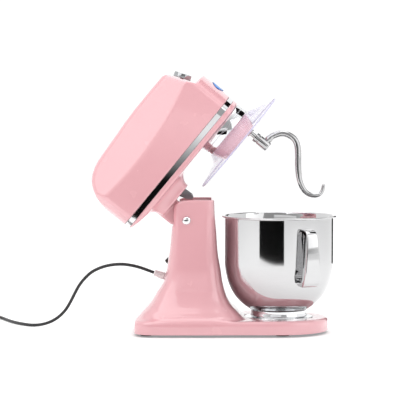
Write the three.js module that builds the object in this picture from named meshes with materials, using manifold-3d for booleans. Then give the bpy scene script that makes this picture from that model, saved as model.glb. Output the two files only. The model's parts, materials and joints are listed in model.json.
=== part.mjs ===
// Tilt-head stand mixer with its head open: millimetres, +Z up, bowl towards +X, standing on z = 0.
// Base dimensions are measured from the hinge pin along X, and from the table along Z.
// Everything inside the head is drawn closed, in the head's own frame: u forward and v up from the pin.
import * as THREE from "three";
import { mergeVertices } from "three/addons/utils/BufferGeometryUtils.js";
import Module from "manifold-3d";

const wasm = await Module();
wasm.setup();

// ---------- driving dimensions ----------
const HINGE_Z = 216; // height of the hinge pin
const OPEN_ANGLE = 50.5; // degrees that the head is raised
const GAP = 0.3; // clearance between pieces that touch
const WALL = 3; // casting and housing walls

const BOWL_X = 175; // bowl axis and planetary axis, ahead of the hinge
const BOWL_RIM_R = 109.6;
const BOWL_WALL_R = 103.4;
const BOWL_RIM_Z = 223;
const BOWL_SHEET = 1.2;
const HANDLE_AZIMUTH = -64; // degrees about the bowl axis from +X, towards the machine's right
const HANDLE_HALF_LOW = 17; // half width of the handle strap at its lower end
const HANDLE_HALF_TOP = 10.5; // half width at its upper end

const FOOT_BOTTOM = 5; // the rubber feet lift the housing this far
const FOOT_TOP = 30;
const FOOT_HALF_WIDTH = 98;
const PEDESTAL_TOP = 255;
const CHEEK_HALF_WIDTH = 57; // outer faces of the two cheeks that hold the hinge
const SLOT_HALF_WIDTH = 44; // the head's tongue turns in this slot
const SLOT_FLOOR = 205;
const TONGUE_HALF_WIDTH = 41;
const PIN_R = 4;

const SPLIT_V = 74; // top of the lower shell
const TRIM_TOP = 85; // top of the trim band
const NECK_BOTTOM = 39.4;
const TRAY_FLOOR = 64;
const HEAD_HALF_WIDTH = 78;

const MODULE = 2; // tooth module of every gear
const PRESSURE_ANGLE = (25 * Math.PI) / 180;
const ADDENDUM = 0.8; // stub teeth, in modules
const RING_TEETH = 42;
const PLANET_TEETH = 14;
const MAIN_TEETH = 48;
const LAY_TEETH = 12;
const BACKLASH = 0.45;
const ECCENTRICITY = (MODULE * (RING_TEETH - PLANET_TEETH)) / 2;
const LAY_U = BOWL_X - (MODULE * (MAIN_TEETH + LAY_TEETH)) / 2;
const MOTOR_U = 5;
const MOTOR_PULLEY_R = 8;
const LARGE_PULLEY_R = 48;
const BELT_V = 176; // lower edge of the belt
const BELT_WIDTH = 9;

const CORD_R = 3;
const COIL_CENTRE = [-425, 232];
const COIL_R = 35;

const radians = (degrees) => (degrees * Math.PI) / 180;

// ---------- materials ----------
const finish = (color, roughness, metalness = 0, opacity = 1) =>
  new THREE.MeshStandardMaterial({ color, roughness, metalness, opacity, transparent: opacity < 1 });
const pink = finish(0xf0b6bf, 0.22);
const chrome = finish(0xe8eaec, 0.06, 1);
const steel = finish(0xc9ccd0, 0.25, 1);
const darkSteel = finish(0x8d9196, 0.4, 1);
const brass = finish(0xc9a24a, 0.35, 1);
const copper = finish(0xb5693c, 0.35, 1);
const castAlloy = finish(0xa4a7ab, 0.5, 1);
const black = finish(0x1b1b1c, 0.5);
const rubber = finish(0x18181a, 0.8);
const whitePlastic = finish(0xeae4e2, 0.4);
const blue = finish(0x1f7fd0, 0.2);
const clear = finish(0xe9e8f3, 0.08, 0, 0.35);
const green = finish(0x2e6b47, 0.5);

// ---------- geometry helpers ----------
function bare(geometry) {
  const copy = geometry.clone();
  copy.deleteAttribute("normal");
  copy.deleteAttribute("uv");
  return mergeVertices(copy, 1e-4);
}

function outward(geometry) {
  const merged = bare(geometry);
  const p = merged.attributes.position;
  const index = Array.from(merged.index.array);
  const a = new THREE.Vector3();
  const b = new THREE.Vector3();
  const c = new THREE.Vector3();
  let volume = 0;
  for (let i = 0; i < index.length; i += 3) {
    a.fromBufferAttribute(p, index[i]);
    b.fromBufferAttribute(p, index[i + 1]);
    c.fromBufferAttribute(p, index[i + 2]);
    volume += a.dot(b.cross(c));
  }
  if (volume < 0) {
    for (let i = 0; i < index.length; i += 3) {
      [index[i], index[i + 1]] = [index[i + 1], index[i]];
    }
    merged.setIndex(index);
  }
  return merged;
}

function solid(geometry) {
  const merged = outward(geometry);
  const vertProperties = Float32Array.from(merged.attributes.position.array);
  const triVerts = Uint32Array.from(merged.index.array);
  return new wasm.Manifold(new wasm.Mesh({ numProp: 3, vertProperties, triVerts }));
}

function surface(manifold) {
  const result = manifold.getMesh();
  const geometry = new THREE.BufferGeometry();
  geometry.setAttribute("position", new THREE.BufferAttribute(Float32Array.from(result.vertProperties), 3));
  geometry.setIndex(Array.from(result.triVerts));
  return geometry;
}

const cut = (body, ...tools) => surface(tools.reduce((m, t) => m.subtract(solid(t)), solid(body)));
const join = (body, ...others) => surface(others.reduce((m, t) => m.add(solid(t)), solid(body)));
const common = (body, ...others) => surface(others.reduce((m, t) => m.intersect(solid(t)), solid(body)));

const box = (x0, x1, y0, y1, z0, z1) =>
  new THREE.BoxGeometry(x1 - x0, y1 - y0, z1 - z0).translate((x0 + x1) / 2, (y0 + y1) / 2, (z0 + z1) / 2);

// Upright cylinder or cone on the axis (x, y), from z0 to z1.
const post = (x, y, z0, z1, r, segments = 20, topR = r) =>
  new THREE.CylinderGeometry(topR, r, z1 - z0, segments).rotateX(Math.PI / 2).translate(x, y, (z0 + z1) / 2);

// Cylinder along Y through (x, z).
const pinAlongY = (x, z, y0, y1, r, segments = 20) =>
  new THREE.CylinderGeometry(r, r, y1 - y0, segments).translate(x, (y0 + y1) / 2, z);

// Closed (radius, height) profile turned about the upright axis through (x, 0).
function turned(profile, x = 0, segments = 24) {
  const points = profile.map(([r, z]) => new THREE.Vector2(r, z));
  return new THREE.LatheGeometry(points, segments).rotateX(Math.PI / 2).translate(x, 0, 0);
}

const closed = (profile) => [...profile, profile[0]];
const washer = (inner, outer, z0, z1, x = 0, segments = 20) =>
  turned(closed([[inner, z0], [outer, z0], [outer, z1], [inner, z1]]), x, segments);

// Plan outline ((x, y) points) raised from z0 to z1, with optional holes.
function raised(outline, z0, z1, holes = []) {
  const shape = new THREE.Shape(outline.map(([x, y]) => new THREE.Vector2(x, y)));
  for (const hole of holes) {
    shape.holes.push(new THREE.Path(hole.map(([x, y]) => new THREE.Vector2(x, y))));
  }
  return new THREE.ExtrudeGeometry(shape, { depth: z1 - z0, bevelEnabled: false }).translate(0, 0, z0);
}

// Side outline ((x, z) points) spread across the width.
const sideways = (outline, halfWidth, centre = 0) =>
  raised(outline, -halfWidth, halfWidth).rotateX(Math.PI / 2).translate(0, centre, 0);

const circle = (x, y, r, count) =>
  Array.from({ length: count }, (_, i) => {
    const angle = (i / count) * 2 * Math.PI;
    return [x + r * Math.cos(angle), y + r * Math.sin(angle)];
  });

// Closed skin over rings that have the same number of points, capped from each end ring's middle.
function loft(rings) {
  const count = rings[0].length;
  const vertices = rings.flat(2);
  const triangles = [];
  for (let level = 0; level < rings.length - 1; level++) {
    for (let i = 0; i < count; i++) {
      const next = (i + 1) % count;
      const low = level * count;
      const high = low + count;
      triangles.push(low + i, low + next, high + next, low + i, high + next, high + i);
    }
  }
  for (const [level, flip] of [[0, true], [rings.length - 1, false]]) {
    const ring = rings[level];
    const middle = [0, 1, 2].map((k) => ring.reduce((sum, p) => sum + p[k], 0) / count);
    const centre = vertices.length / 3;
    vertices.push(...middle);
    for (let i = 0; i < count; i++) {
      const a = level * count + i;
      const b = level * count + ((i + 1) % count);
      triangles.push(centre, ...(flip ? [b, a] : [a, b]));
    }
  }
  const geometry = new THREE.BufferGeometry();
  geometry.setAttribute("position", new THREE.Float32BufferAttribute(vertices, 3));
  geometry.setIndex(triangles);
  return geometry;
}

// Superellipse-like ring from x0 to x1 at one height; corner 2 is an ellipse, larger is squarer.
function ring(x0, x1, halfWidth, z, corner, count = 28) {
  const power = 2 / corner;
  return Array.from({ length: count }, (_, i) => {
    const angle = ((i + 0.5) / count) * 2 * Math.PI;
    const cos = Math.cos(angle);
    const sin = Math.sin(angle);
    const x = (x0 + x1) / 2 + ((x1 - x0) / 2) * Math.sign(cos) * Math.abs(cos) ** power;
    return [x, halfWidth * Math.sign(sin) * Math.abs(sin) ** power, z];
  });
}

function tubeAlong(points, radius, sides, steps) {
  const path = new THREE.CatmullRomCurve3(points.map((p) => new THREE.Vector3(...p)), false, "centripetal");
  const section = new THREE.Shape(circle(0, 0, radius, sides).map(([x, y]) => new THREE.Vector2(x, y)));
  return new THREE.ExtrudeGeometry(section, { steps, bevelEnabled: false, extrudePath: path });
}

// ---------- scene graph helpers ----------
const mixer = new THREE.Group();
const head = new THREE.Group();
head.position.z = HINGE_Z;
head.rotation.y = radians(-OPEN_ANGLE);
mixer.add(head);

function put(name, geometry, material, parent = mixer) {
  const mesh = new THREE.Mesh(outward(geometry), material);
  mesh.name = name;
  parent.add(mesh);
  return mesh;
}

// ---------- gears ----------
const involute = (angle) => Math.tan(angle) - angle;

// Half the angle that a tooth covers at radius r; the space of a ring gear is a tooth with slack.
function toothHalfAngle(teeth, r, slack) {
  const pitchR = (MODULE * teeth) / 2;
  const baseR = pitchR * Math.cos(PRESSURE_ANGLE);
  const here = Math.acos(Math.min(1, baseR / r));
  return Math.PI / (2 * teeth) + involute(PRESSURE_ANGLE) - involute(here) + slack / (2 * pitchR);
}

function gearOutline(teeth, tipR, rootR, slack, phase) {
  const pitchR = (MODULE * teeth) / 2;
  const flankR = Math.max(rootR, pitchR * Math.cos(PRESSURE_ANGLE) + 0.05);
  const radii = flankR > rootR + 0.1 ? [rootR, flankR, tipR] : [rootR, tipR];
  const outline = [];
  for (let tooth = 0; tooth < teeth; tooth++) {
    const middle = phase + (tooth / teeth) * 2 * Math.PI;
    const half = radii.map((r) => toothHalfAngle(teeth, Math.max(r, flankR), slack));
    const rise = radii.map((r, i) => [r, middle - half[i]]);
    const fall = radii.map((r, i) => [r, middle + half[i]]).reverse();
    for (const [r, angle] of [...rise, ...fall]) outline.push([r * Math.cos(angle), r * Math.sin(angle)]);
  }
  return outline;
}

function spurGear(teeth, boreR, z0, z1, phase) {
  const pitchR = (MODULE * teeth) / 2;
  const outline = gearOutline(teeth, pitchR + ADDENDUM * MODULE, pitchR - MODULE, -BACKLASH / 2, phase);
  return raised(outline, z0, z1, [circle(0, 0, boreR, 20)]);
}

// ---------- base: pedestal, foot and what is fixed to them ----------
// Pedestal sections: [height, rear x, front x, half width, squareness].
const PEDESTAL_SECTIONS = [
  [5, -97, 110, 97, 4], [20, -96.5, 110, 96, 4], [31, -93, 108, 94, 4], [43, -85, 98, 88, 4],
  [54, -74, 87, 81, 4], [81, -56, 73, 69, 4], [96, -46, 69, 66, 4], [121, -39, 65, 62, 4],
  [150, -34, 60, 60, 4.5], [190, -29.5, 57, 58, 5],
  [226, -26.6, 53.8, CHEEK_HALF_WIDTH, 6], [237, -24, 53.4, 56.6, 6], [245, -20, 53, 56, 6],
  [251, -12.5, 52.6, 55.4, 6], [PEDESTAL_TOP, 1, 51.5, 54, 6],
];

function footOutline(inset) {
  const rearX = -98 + inset;
  const half = FOOT_HALF_WIDTH - inset;
  const corner = 34;
  const arc = (cx, cy, r, from, to, steps) =>
    Array.from({ length: steps + 1 }, (_, i) => {
      const angle = radians(from + ((to - from) * i) / steps);
      return [cx + r * Math.cos(angle), cy + r * Math.sin(angle)];
    });
  const front = arc(BOWL_X, 0, half, -90, 90, 12).map(([x, y]) => [BOWL_X + (x - BOWL_X) * 0.96, y]);
  return [
    ...front,
    ...arc(rearX + corner, half - corner, corner, 90, 180, 4),
    ...arc(rearX + corner, corner - half, corner, 180, 270, 4),
  ];
}

function makeBase() {
  const level = (inset, z) => footOutline(inset).map(([x, y]) => [x, y, z]);
  const foot = loft([level(3, FOOT_BOTTOM), level(0, 11), level(0, 23), level(2, 28), level(6, FOOT_TOP)]);
  const footRoom = raised(footOutline(WALL + 3), 0, FOOT_TOP - WALL);
  const pedestal = loft(PEDESTAL_SECTIONS.map(([z, x0, x1, w, k]) => ring(x0, x1, w, z, k)));
  const hollow = PEDESTAL_SECTIONS.filter(([z]) => z > 5 && z <= 190);
  const room = loft([
    ring(-90, 102, 90, -1, 4),
    ...hollow.map(([z, x0, x1, w, k]) => ring(x0 + WALL + 0.5, x1 - WALL, w - WALL, z - 2, k)),
  ]);
  const slot = box(-80, 46, -SLOT_HALF_WIDTH, SLOT_HALF_WIDTH, SLOT_FLOOR, 300);
  const well = box(-22, 46, -SLOT_HALF_WIDTH, SLOT_HALF_WIDTH, 170, SLOT_FLOOR + 5);
  const pinHole = pinAlongY(0, HINGE_Z, -80, 80, PIN_R + GAP);
  const plateSeat = post(BOWL_X, 0, FOOT_TOP - 2, FOOT_TOP + 3, 65.5, 40);
  const rockerWindow = box(-45, -28, -9.5, 9.5, 127.5, 146.5);
  const reliefHole = post(0, 0, -14, 14, 6.5, 16).rotateY(radians(-70)).translate(-43, 0, 106.35);
  const hull = cut(join(pedestal, foot), footRoom, room, slot, well, pinHole, plateSeat, rockerWindow, reliefHole);
  put("base_housing", hull, pink);

  const coverOutline = footOutline(WALL + 4);
  put("base_plate", raised(coverOutline, FOOT_BOTTOM, FOOT_BOTTOM + 1.5), darkSteel);
  const feet = { rear_left: [-76, 60], rear_right: [-76, -60], front_left: [180, 62], front_right: [180, -62] };
  for (const [name, [x, y]] of Object.entries(feet)) {
    const r = name.startsWith("rear") ? 12 : 14.5;
    put(`rubber_foot_${name}`, post(x, y, 0, FOOT_BOTTOM - GAP, r - 2, 20, r), rubber);
  }
}

function makeHinge() {
  put("hinge_pin", pinAlongY(0, HINGE_Z, -56.5, 56.5, PIN_R, 16), steel);
  for (const [name, side] of [["left", 1], ["right", -1]]) {
    const dome = turned([[0, 0], [8, 0], [8, 1.2], [6.5, 3.2], [3.5, 4.4], [0, 4.8]], 0, 20);
    dome.rotateX(radians(-90 * side)).translate(0, side * (CHEEK_HALF_WIDTH + 2 * GAP), HINGE_Z);
    put(`hinge_pin_cap_${name}`, dome, chrome);
  }
}

// The rocker at the back turns the lever, whose hook then closes over the head's striker pin.
const ROCKER_PIVOT = [-32, 137];
const LEVER_PIVOT = [6, 157];
const STRIKER = [38.8, 21.6];

function makeHeadLock() {
  const [rx, rz] = ROCKER_PIVOT;
  const cap = [[rx - 9.8, rz - 0.5], [rx - 3.5, rz - 8.5], [rx + 2, rz - 8], [rx + 2, rz + 8], [rx - 1, rz + 8.5]];
  const arm = [[rx - 1, rz + 2], [rx + 2, rz + 2], [rx + 12, rz - 12], [rx + 9, rz - 14], [rx - 1, rz - 2]];
  put("lock_rocker", join(sideways(cap, 8.5), sideways(arm, 3)), black);

  const [lx, lz] = LEVER_PIVOT;
  const catchZ = HINGE_Z + STRIKER[1] + 6.6;
  const bar = [
    [-18, 121], [-13, 121], [lx - 3, lz - 8], [lx + 6, lz], [24, 205], [24.5, catchZ], [29.4, catchZ],
    [25.2, catchZ + 4], [21, catchZ + 4], [19, 205], [lx - 6, lz + 2], [-18, 126],
  ];
  const hole = pinAlongY(lx, lz, -20, 20, 3 + GAP, 14);
  put("lock_lever", cut(sideways(bar, 5), hole), darkSteel);
  put("lock_pivot_pin", pinAlongY(lx, lz, -56, 56, 3, 14), steel);
}

function makeBowlClamp() {
  const top = FOOT_TOP + 0.3;
  const profile = closed([[20, FOOT_TOP - 1.7], [65, FOOT_TOP - 1.7], [65, top], [63.5, top + 0.6],
    [58.5, top + 0.6], [57, FOOT_TOP - 0.2], [20, FOOT_TOP - 0.2]]);
  put("bowl_clamp_plate", turned(profile, BOWL_X, 28), chrome);
}

// Route of the power cord from the strain relief to the coil: arcs out, drops, lies on the table.
const CORD_ROUTE = [
  [-62.6, 0, 113.4], [-75, 0, 118], [-89, 1, 122.8], [-104, 2, 126.5], [-120, 4, 128.6], [-136, 6, 128.3],
  [-152, 9, 125.6], [-168, 13, 120.3], [-183, 18, 112], [-196, 23, 100], [-207, 29, 86], [-216, 35, 70],
  [-225, 41, 52.5], [-235, 47, 36.5], [-248, 54, 23], [-264, 61, 12.5], [-283, 70, 5.8], [-302, 81, 3.3],
  [-319, 96, 3.3], [-335, 118, 3.3], [-350, 146, 3.3], [-364, 180, 3.3], [-373, 203, 3.3], [-380.5, 222, 3.3],
];

function makeCord() {
  const relief = turned([[0, 0], [6.2, 0], [6.2, 6.3], [8, 6.3], [8, 8.2], [7.1, 8.5], [7.1, 11], [7.8, 11.5],
    [7.8, 14], [6.8, 14.5], [6.8, 17], [7.4, 17.5], [6.4, 25.5], [0, 25.5]], 0, 16);
  relief.rotateY(radians(-70)).translate(-38.2, 0, 104.6);
  put("strain_relief", relief, whitePlastic);
  put("terminal_block", box(-20, 10, -14, 14, 96, 116), whitePlastic);

  put("power_cord", tubeAlong(CORD_ROUTE, CORD_R, 8, 56), rubber);
  const section = closed([[28.7, 0.3], [41.3, 0.3], [41.3, 6], [38, 12.2], [32, 12.2], [28.7, 6]]);
  const coil = turned(section, 0, 20).translate(...COIL_CENTRE, 0);
  put("power_cord_coil", coil, rubber);

  const plugX = COIL_CENTRE[0] - 38;
  const plug = turned([[0, 0], [3.4, 0], [5.2, 12], [10.5, 20], [12, 30], [11.6, 40], [10.4, 46], [0, 46]], 0, 20);
  plug.rotateX(radians(90)).translate(plugX, 214, 12.2);
  put("plug_body", plug, rubber);
  for (const [name, side] of [["left", 1], ["right", -1]]) {
    const prong = pinAlongY(plugX + side * 6.5, 12.2, 149, 168 - GAP, 2.2, 12);
    put(`plug_pin_${name}`, prong, brass);
  }
}

// ---------- bowl ----------
const BOWL_WALL = [[BOWL_WALL_R, 134], [101.6, 116], [98, 100], [91, 82], [80, 66], [56, 45]];

function makeBowl() {
  const outer = [[BOWL_WALL_R, BOWL_RIM_Z - 4], ...BOWL_WALL];
  const inner = outer.map(([r, z]) => [r - BOWL_SHEET, z + (z < 100 ? 0.9 : 0)]).reverse();
  const rim = [[BOWL_WALL_R - BOWL_SHEET, BOWL_RIM_Z - 1.4], [BOWL_WALL_R, BOWL_RIM_Z],
    [BOWL_RIM_R - 1.2, BOWL_RIM_Z], [BOWL_RIM_R, BOWL_RIM_Z - 1.8], [BOWL_RIM_R - 1.2, BOWL_RIM_Z - 3.8]];
  const profile = closed([...rim, ...outer, [30, 39.5], [0, 39.5], [0, 40.7], [29.5, 40.7], ...inner]);
  const open = profile.slice(profile.findIndex(([r]) => r === 0) + 1, -1);
  const lead = profile.slice(0, profile.findIndex(([r]) => r === 0) + 1);
  put("bowl", turned([...open, ...lead], BOWL_X, 30), steel);

  const foot = closed([[50.5, 32], [52.5, 31], [54, 33], [53, 38], [53, 43.5], [48, 39.1], [50, 38.6]]);
  put("bowl_foot_ring", turned(foot, BOWL_X, 24), steel);

  const grip = [[106, 203], [128, 200], [134, 190], [137, 140], [135, 104], [128, 94], [102, 98], [103.5, 101],
    [126, 97.5], [131.5, 105], [134, 140], [131, 188], [126, 196.5], [105.2, 199.5]];
  const strap = raised(grip, -20, 20).rotateX(Math.PI / 2);
  const wings = raised([[128, 200], [134, 190], [137, 140], [135, 104], [128, 94], [118, 95.3], [123, 106],
    [125.5, 140], [122.5, 186], [117, 200.4]], -20, 20).rotateX(Math.PI / 2);
  const taper = (inset) => loft([94, 203.2].map((z) => {
    const half = (z < 100 ? HANDLE_HALF_LOW : HANDLE_HALF_TOP) - inset;
    return [[100, -half, z], [140, -half, z], [140, half, z], [100, half, z]];
  }));
  const strapMesh = join(common(strap, taper(0)), cut(common(wings, taper(0)), taper(1.5)));
  strapMesh.rotateZ(radians(HANDLE_AZIMUTH)).translate(BOWL_X, 0, 0);
  put("bowl_handle", strapMesh, steel);
}

// ---------- head: shells, trim and outside fittings ----------
const UPPER_SIDE = [
  [-83.6, TRIM_TOP + GAP], [231.4, TRIM_TOP + GAP], [231.4, 144], [229, 148], [209, 151], [189, 202],
  [183, 206.5], [149, 208], [101, 208], [44.5, 204.5], [-4, 201], [-34, 196.5], [-56, 185], [-68, 169.5],
  [-79, 142], [-83.6, 113],
];
const NOSE_U = 199;
const NOSE_DEPTH = 32.4;

// Plan outline of the head, moved inwards by inset.
function headPlan(inset) {
  const half = HEAD_HALF_WIDTH - inset;
  const noseHalf = 70 - inset;
  const right = [];
  for (let i = 0; i <= 8; i++) {
    const angle = radians(-90 + (90 * i) / 8);
    right.push([NOSE_U + (NOSE_DEPTH - inset) * Math.cos(angle), noseHalf * Math.sin(angle)]);
  }
  const rear = [[60, -half], [0, -half + 0.6], [-45, 2.5 - half], [-62, 5.5 - half], [-74 + inset * 0.6, 17 - half],
    [-81 + inset, 34 - half], [-83.6 + inset, 0]];
  const lower = [...rear.reverse(), ...right];
  const upper = lower.slice(1, -1).reverse().map(([u, y]) => [u, -y]);
  return [...lower, ...upper];
}

// Upright walls to the shoulder crease, then facets that lean in; the crease rises towards the front.
function shoulderWedge(inset) {
  const half = HEAD_HALF_WIDTH - inset + 0.5;
  const section = (u, crease) => {
    const top = 225;
    const topHalf = half - 0.47 * (top - crease);
    return [[u, -half, 0], [u, half, 0], [u, half, crease], [u, topHalf, top], [u, -topHalf, top], [u, -half, crease]];
  };
  return loft([section(-120, 134 - inset * 0.6), section(260, 153 - inset * 0.6)]);
}

function insetSide(outline, inset) {
  const middle = [70, 120];
  return outline.map(([u, v]) => {
    const du = u - middle[0];
    const dv = v - middle[1];
    return [u - Math.sign(du) * Math.min(inset, Math.abs(du)), v - (dv > 20 ? inset : 0)];
  });
}

// Slanted face of the speed dial.
const DIAL_NORMAL = Math.atan2(20, 51);
const DIAL_CENTRE = [199, 176.5];

function ontoDial(geometry, lift) {
  return geometry.rotateY(Math.PI / 2 - DIAL_NORMAL).translate(
    DIAL_CENTRE[0] + lift * Math.cos(DIAL_NORMAL), 0, DIAL_CENTRE[1] + lift * Math.sin(DIAL_NORMAL));
}

function makeShells() {
  const outer = common(sideways(UPPER_SIDE, 90), raised(headPlan(0), 60, 230), shoulderWedge(0));
  const roomSide = insetSide(UPPER_SIDE, WALL).map(([u, v]) => [u, v < 90 ? 60 : v]);
  const room = common(sideways(roomSide, 90), raised(headPlan(WALL), 40, 230), shoulderWedge(WALL));
  const spindleHole = ontoDial(post(0, 0, -20, 20, 4.5, 14), 0);
  put("head_upper_shell", cut(outer, room, spindleHole), pink, head);

  put("trim_band", raised(headPlan(0.4), SPLIT_V + GAP, TRIM_TOP, [headPlan(WALL)]), chrome, head);

  const plan = (inset, v) => headPlan(inset).map(([u, y]) => [u, y, v]);
  const squeeze = (v, u0, u1, half, inset) => plan(inset, v).map(([u, y]) => [
    Math.min(Math.max(u, u0), u1), Math.min(Math.max(y, -half), half), v,
  ]);
  const tray = loft([squeeze(TRAY_FLOOR, -44, 224, 72, 6), plan(2.5, 68), plan(1, SPLIT_V)]);
  const trayRoom = loft([squeeze(68, -40, 219, 67, 10), plan(5.5, 71), plan(4.5, SPLIT_V + 1)]);
  const neck = loft([ring(-24, 53, 56, NECK_BOTTOM, 6), ring(-25, 55, 57, 50, 6), ring(-31, 64, 60, 59, 5),
    ring(-43, 80, 66, 66, 4.5)]);
  const neckRoom = loft([ring(-19, 49, 51, 43.4, 6), ring(-20, 50, 52, 50, 6), ring(-26, 58, 54, 72, 5)]);
  const tongueSide = [[-24.8, 46], [-24.8, 18], [-17, 6], [-14.2, -6.4], [-5.4, -14.6], [5.4, -14.6],
    [14.2, -6.4], [16, 6], [18, 22], [18, 46]];
  const tongue = sideways(tongueSide, TONGUE_HALF_WIDTH);
  const pinHole = pinAlongY(0, 0, -60, 60, PIN_R + GAP, 16);
  const shaftHole = post(BOWL_X, 0, 50, 80, 16.3, 24);
  const layHole = post(LAY_U, 0, 66.5, 80, 11.3, 20);
  const tongueRelief = box(-12, 14, -30, 30, 8, 60);
  const lower = cut(join(tray, neck, tongue), trayRoom, neckRoom, tongueRelief, pinHole, shaftHole, layHole);
  put("head_lower_shell", lower, pink, head);

  const badgeOutline = circle(0, 0, 1, 24).map(([y, v]) => [114 + 14 * v, 34 * y]);
  const badgeBlank = raised(badgeOutline, 205, 240).rotateY(Math.PI / 2).scale(1, 1, -1);
  const skin = cut(raised(headPlan(-1.6), 90, 140), raised(headPlan(-GAP), 80, 150));
  put("badge", common(badgeBlank, skin), blue, head);
}

function makeStriker() {
  const [u, v] = STRIKER;
  const cheek = [[25, NECK_BOTTOM - GAP], [42, NECK_BOTTOM - GAP], [43, v], [40, v - 5], [36, v - 5], [29, v + 4]];
  const top = box(25, 42, -14, 14, NECK_BOTTOM - 2.3, NECK_BOTTOM - GAP);
  const bracket = join(sideways(cheek, 1.2, 12.8), sideways(cheek, 1.2, -12.8), top);
  put("striker_bracket", cut(bracket, pinAlongY(u, v, -20, 20, 3 + GAP, 14)), darkSteel, head);
  put("striker_pin", pinAlongY(u, v, -15.5, 15.5, 3, 14), steel, head);
}

function makeDial() {
  const knob = turned([[0, 3], [14, 3], [14, 0], [16.4, 0], [17.4, 1], [17.4, 8.6], [16.2, 10], [0, 10]], 0, 24);
  put("speed_knob", ontoDial(knob, 0.6), chrome, head);
  const sensor = join(post(0, 0, -16, -6, 11, 18), post(0, 0, -6.5, 3.3 - GAP, 3.4, 14));
  put("speed_potentiometer", ontoDial(sensor, 0.0), black, head);
}

// ---------- head: motor, belt and gearbox ----------
function makeMotor() {
  const can = closed([[6, 87], [47, 87], [47, 163], [6, 163], [6, 160], [44, 160], [44, 90], [6, 90]]);
  put("motor_can", turned(can, MOTOR_U, 20), darkSteel, head);
  put("stator_core", washer(26, 43.7, 112, 144, MOTOR_U, 20), castAlloy, head);
  for (const [name, side] of [["left", 1], ["right", -1]]) {
    const y0 = side > 0 ? 12.4 : -26;
    put(`carbon_brush_${name}`, box(MOTOR_U - 3, MOTOR_U + 3, y0, y0 + 13.6, 148, 156), black, head);
  }
  put("motor_shaft", post(MOTOR_U, 0, 84, 190, 4, 16), steel, head);
  put("rotor_core", washer(4.3, 25, 113, 143, MOTOR_U, 24), castAlloy, head);
  put("commutator", washer(4.3, 12, 146, 158, MOTOR_U, 20), copper, head);
  const blades = Array.from({ length: 7 }, (_, i) =>
    box(9, 36, -0.9, 0.9, 95, 104).rotateZ((i / 7) * 2 * Math.PI).translate(MOTOR_U, 0, 0));
  put("cooling_fan", join(washer(4.3, 36, 93, 95.5, MOTOR_U, 24), ...blades), black, head);
  put("motor_pulley", washer(4.3, MOTOR_PULLEY_R, BELT_V - 2, BELT_V + BELT_WIDTH + 2, MOTOR_U, 20), steel, head);
}

// Two arcs joined by straight runs around the two pulleys.
function beltOutline(extra) {
  const small = MOTOR_PULLEY_R + extra;
  const large = LARGE_PULLEY_R + extra;
  const lean = Math.acos((large - small) / (LAY_U - MOTOR_U));
  const points = [];
  for (let i = 0; i <= 14; i++) {
    const angle = Math.PI - lean - ((Math.PI - lean) * 2 * i) / 14;
    points.push([LAY_U + large * Math.cos(angle), large * Math.sin(angle)]);
  }
  for (let i = 0; i <= 6; i++) {
    const angle = -(Math.PI - lean) - (lean * 2 * i) / 6;
    points.push([MOTOR_U + small * Math.cos(angle), small * Math.sin(angle)]);
  }
  return points.reverse();
}

function makeDriveTrain() {
  put("drive_belt", raised(beltOutline(2.6), BELT_V, BELT_V + BELT_WIDTH, [beltOutline(0.8)]), rubber, head);

  put("layshaft", post(LAY_U, 0, 69, 190, 5, 16), steel, head);
  const rimGrooves = closed([[5.3, BELT_V - 2], [LARGE_PULLEY_R, BELT_V - 2], [LARGE_PULLEY_R, BELT_V + 11],
    [43, BELT_V + 11], [43, BELT_V + 6], [12, BELT_V + 6], [12, BELT_V + 12], [5.3, BELT_V + 12]]);
  put("large_pulley", turned(rimGrooves, LAY_U, 24), castAlloy, head);
  const layPhase = Math.PI / LAY_TEETH;
  put("layshaft_pinion", spurGear(LAY_TEETH, 5.3, 94, 106, layPhase).translate(LAY_U, 0, 0), steel, head);
  put("layshaft_bearing_lower", washer(5.3, 11, 67, 73, LAY_U, 18), steel, head);
  put("layshaft_bearing_upper", washer(5.3, 11, 110, 116, LAY_U, 18), steel, head);

  const frameOutline = [[96, -62], [202, -62], [206, -40], [206, 40], [202, 62], [96, 62]];
  const plate = raised(frameOutline, 109.5, 116.5, [circle(LAY_U, 0, 11.3, 18), circle(BOWL_X, 0, 14.3, 20)]);
  const legs = [[104, 55], [104, -55], [187, 54.5], [187, -54.5]].map(([u, y]) => post(u, y, 68.6, 112, 4.5, 12));
  put("gearbox_frame", join(plate, ...legs), castAlloy, head);
  put("main_bearing_upper", washer(6.3, 14, 110, 116, BOWL_X, 20), steel, head);
  put("main_bearing_lower", washer(6.3, 16, 60, 70, BOWL_X, 20), steel, head);
  put("main_shaft", post(BOWL_X, 0, 36, 122, 6, 18), steel, head);
  put("main_gear", spurGear(MAIN_TEETH, 6.3, 95, 105, 0).translate(BOWL_X, 0, 0), brass, head);
  put("control_board", box(62, 92, 58, 60, 88, 150), green, head);
}

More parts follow.
